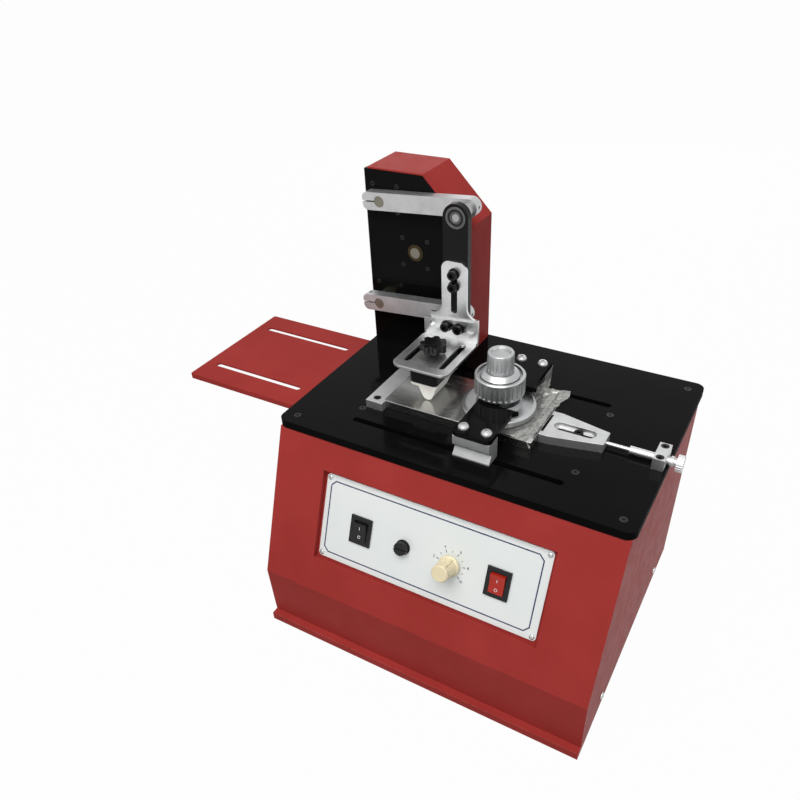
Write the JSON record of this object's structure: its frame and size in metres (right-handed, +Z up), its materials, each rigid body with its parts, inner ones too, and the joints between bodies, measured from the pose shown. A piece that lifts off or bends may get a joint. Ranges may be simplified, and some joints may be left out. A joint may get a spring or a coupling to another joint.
{
  "type": "pad printing machine",
  "caption": "Desktop pad printer: sloped console with a slotted table, gear-driven parallel swing arms carrying a silicone pad, a sliding ink cup on an ink plate and an adjustable worktable.",
  "frame": {"origin": "on the bench, midway between the four feet", "axes": "+X to the operator's right along the table, +Y to the rear, +Z up"},
  "size_m": [0.5528, 0.328, 0.457],
  "materials": {
    "red_paint": "gloss",
    "black_plate": "gloss",
    "black_oxide": "satin",
    "aluminium": "satin",
    "bright_steel": "polished",
    "steel": "satin",
    "brass": "satin",
    "panel_face": "satin",
    "black_plastic": "matte",
    "red_plastic": "gloss",
    "cream_plastic": "gloss",
    "black_rubber": "matte",
    "silicone": "matte",
    "board": "matte"
  },
  "bodies": {
    "frame": {"base_pan": "red_paint", "rubber_feet": "black_rubber", "body_shell": "red_paint", "rear_cover": "red_paint", "mains_inlet": "black_plastic", "table_plate": "black_plate", "table_screws": "steel", "control_panel": "panel_face", "case_screws": "steel", "switch_frames": "black_plastic", "fuse_socket": "black_plastic", "speed_control": "steel", "control_board": "board", "worktable_bolts": "steel", "tower_plate": "black_plate", "tower_cover": "red_paint", "tower_screws": "black_oxide", "inner_plate": "steel", "tower_spacers": "steel", "shaft_bushes": "brass", "drive_belt": "black_rubber", "gear_motor": "steel", "guide_rods": "steel", "ink_plate": "steel", "stop_bar": "aluminium", "clamp_screw": "black_oxide", "rod_block": "aluminium"},
    "upper_swing": {"upper_arm": "aluminium", "upper_shaft": "bright_steel", "upper_pinion": "steel", "upper_pin": "bright_steel"},
    "lower_swing": {"lower_arm": "aluminium", "lower_shaft": "bright_steel", "lower_pinion": "steel", "lower_pin": "bright_steel"},
    "pad_head": {"link_bar": "black_oxide", "link_bearings": "bright_steel", "height_bracket": "bright_steel", "head_bolts": "black_oxide", "pad_bracket": "bright_steel", "pad_board": "black_plastic", "print_pad": "silicone"},
    "pad_lock": {"pad_knob": "black_plastic"},
    "sync": {"sync_gear": "bright_steel"},
    "drive": {"drive_shaft": "steel"},
    "cup_slide": {"carriage": "steel", "cup_rack": "steel", "bridge_feet": "aluminium", "bridge_plate": "black_plate", "bridge_bolts": "bright_steel", "cup_body": "aluminium"},
    "clamp_ring": {"cup_ring": "aluminium"},
    "cup_top": {"cup_knob": "aluminium"},
    "wedge": {"plate_clamp": "aluminium"},
    "adjuster": {"plate_rod": "aluminium"},
    "power_rocker": {"left_rocker": "black_plastic"},
    "run_rocker": {"right_rocker": "red_plastic"},
    "fuse": {"fuse_cap": "black_plastic"},
    "speed": {"speed_knob": "cream_plastic"},
    "work": {"worktable": "red_paint"}
  },
  "joints": [
    {"name": "arm_swing", "type": "hinge", "parent": "frame", "child": "upper_swing", "pos_m": [-0.1655, 0.0865, 0.4261], "axis": [0, -1, 0], "range_deg": [0, 171.6]},
    {"name": "lower_arm_swing", "type": "hinge", "parent": "frame", "child": "lower_swing", "pos_m": [-0.1655, 0.0735, 0.3135], "axis": [0, -1, 0], "range_deg": [0, 171.6]},
    {"name": "head_level", "type": "hinge", "parent": "upper_swing", "child": "pad_head", "pos_m": [-0.05978, 0.058, 0.43386], "axis": [0, -1, 0], "range_deg": [-171.6, 0]},
    {"name": "sync_turn", "type": "hinge", "parent": "frame", "child": "sync", "pos_m": [-0.13058, 0.0995, 0.3698], "axis": [0, -1, 0], "range_deg": [-55.97, 0.2]},
    {"name": "drive_turn", "type": "hinge", "parent": "frame", "child": "drive", "pos_m": [-0.092, 0.1135, 0.191], "axis": [0, -1, 0], "range_deg": [0, 171.6]},
    {"name": "cup_travel", "type": "slide", "parent": "frame", "child": "cup_slide", "axis": [1, 0, 0], "range_m": [-0.08106, 0.0002]},
    {"name": "ring_turn", "type": "hinge", "parent": "cup_slide", "child": "clamp_ring", "pos_m": [0.0155, 0.008, 0.293], "axis": [0, 0, 1], "range_deg": [0, 180]},
    {"name": "cup_knob_turn", "type": "hinge", "parent": "cup_slide", "child": "cup_top", "pos_m": [0.0155, 0.008, 0.318], "axis": [0, 0, 1], "range_deg": [0, 270]},
    {"name": "pad_knob_turn", "type": "hinge", "parent": "pad_head", "child": "pad_lock", "pos_m": [-0.06239, 0.014, 0.3045], "axis": [0, 0, 1], "range_deg": [0, 360]},
    {"name": "wedge_slide", "type": "slide", "parent": "frame", "child": "wedge", "axis": [1, 0, 0], "range_m": [0, 0.006]},
    {"name": "adjuster_turn", "type": "hinge", "parent": "wedge", "child": "adjuster", "pos_m": [0.129, 0.008, 0.258], "axis": [1, 0, 0], "range_deg": [0, 1440]},
    {"name": "power_rock", "type": "hinge", "parent": "frame", "child": "power_rocker", "pos_m": [-0.077, -0.12275, 0.16173], "axis": [1, 0, 0], "range_deg": [-14, 0]},
    {"name": "run_rock", "type": "hinge", "parent": "frame", "child": "run_rocker", "pos_m": [0.078, -0.12275, 0.16173], "axis": [1, 0, 0], "range_deg": [-14, 0]},
    {"name": "fuse_turn", "type": "hinge", "parent": "frame", "child": "fuse", "pos_m": [-0.0265, -0.12741, 0.16355], "axis": [0, -0.9312, 0.3644], "range_deg": [0, 90]},
    {"name": "speed_turn", "type": "hinge", "parent": "frame", "child": "speed", "pos_m": [0.027, -0.12927, 0.16428], "axis": [0, -0.9312, 0.3644], "range_deg": [-130, 150]},
    {"name": "work_height", "type": "slide", "parent": "frame", "child": "work", "axis": [0, 0, 1], "range_m": [-0.06, 0]}
  ],
  "couplings": [
    {"joint": "lower_arm_swing", "follows": "arm_swing", "ratio": 1},
    {"joint": "head_level", "follows": "arm_swing", "ratio": -1},
    {"joint": "sync_turn", "follows": "arm_swing", "ratio": -0.325},
    {"joint": "drive_turn", "follows": "arm_swing", "ratio": 1},
    {"joint": "cup_travel", "follows": "arm_swing", "m_per_rad": -0.027},
    {"joint": "adjuster_turn", "follows": "wedge_slide", "rad_per_m": 4188.8}
  ]
}
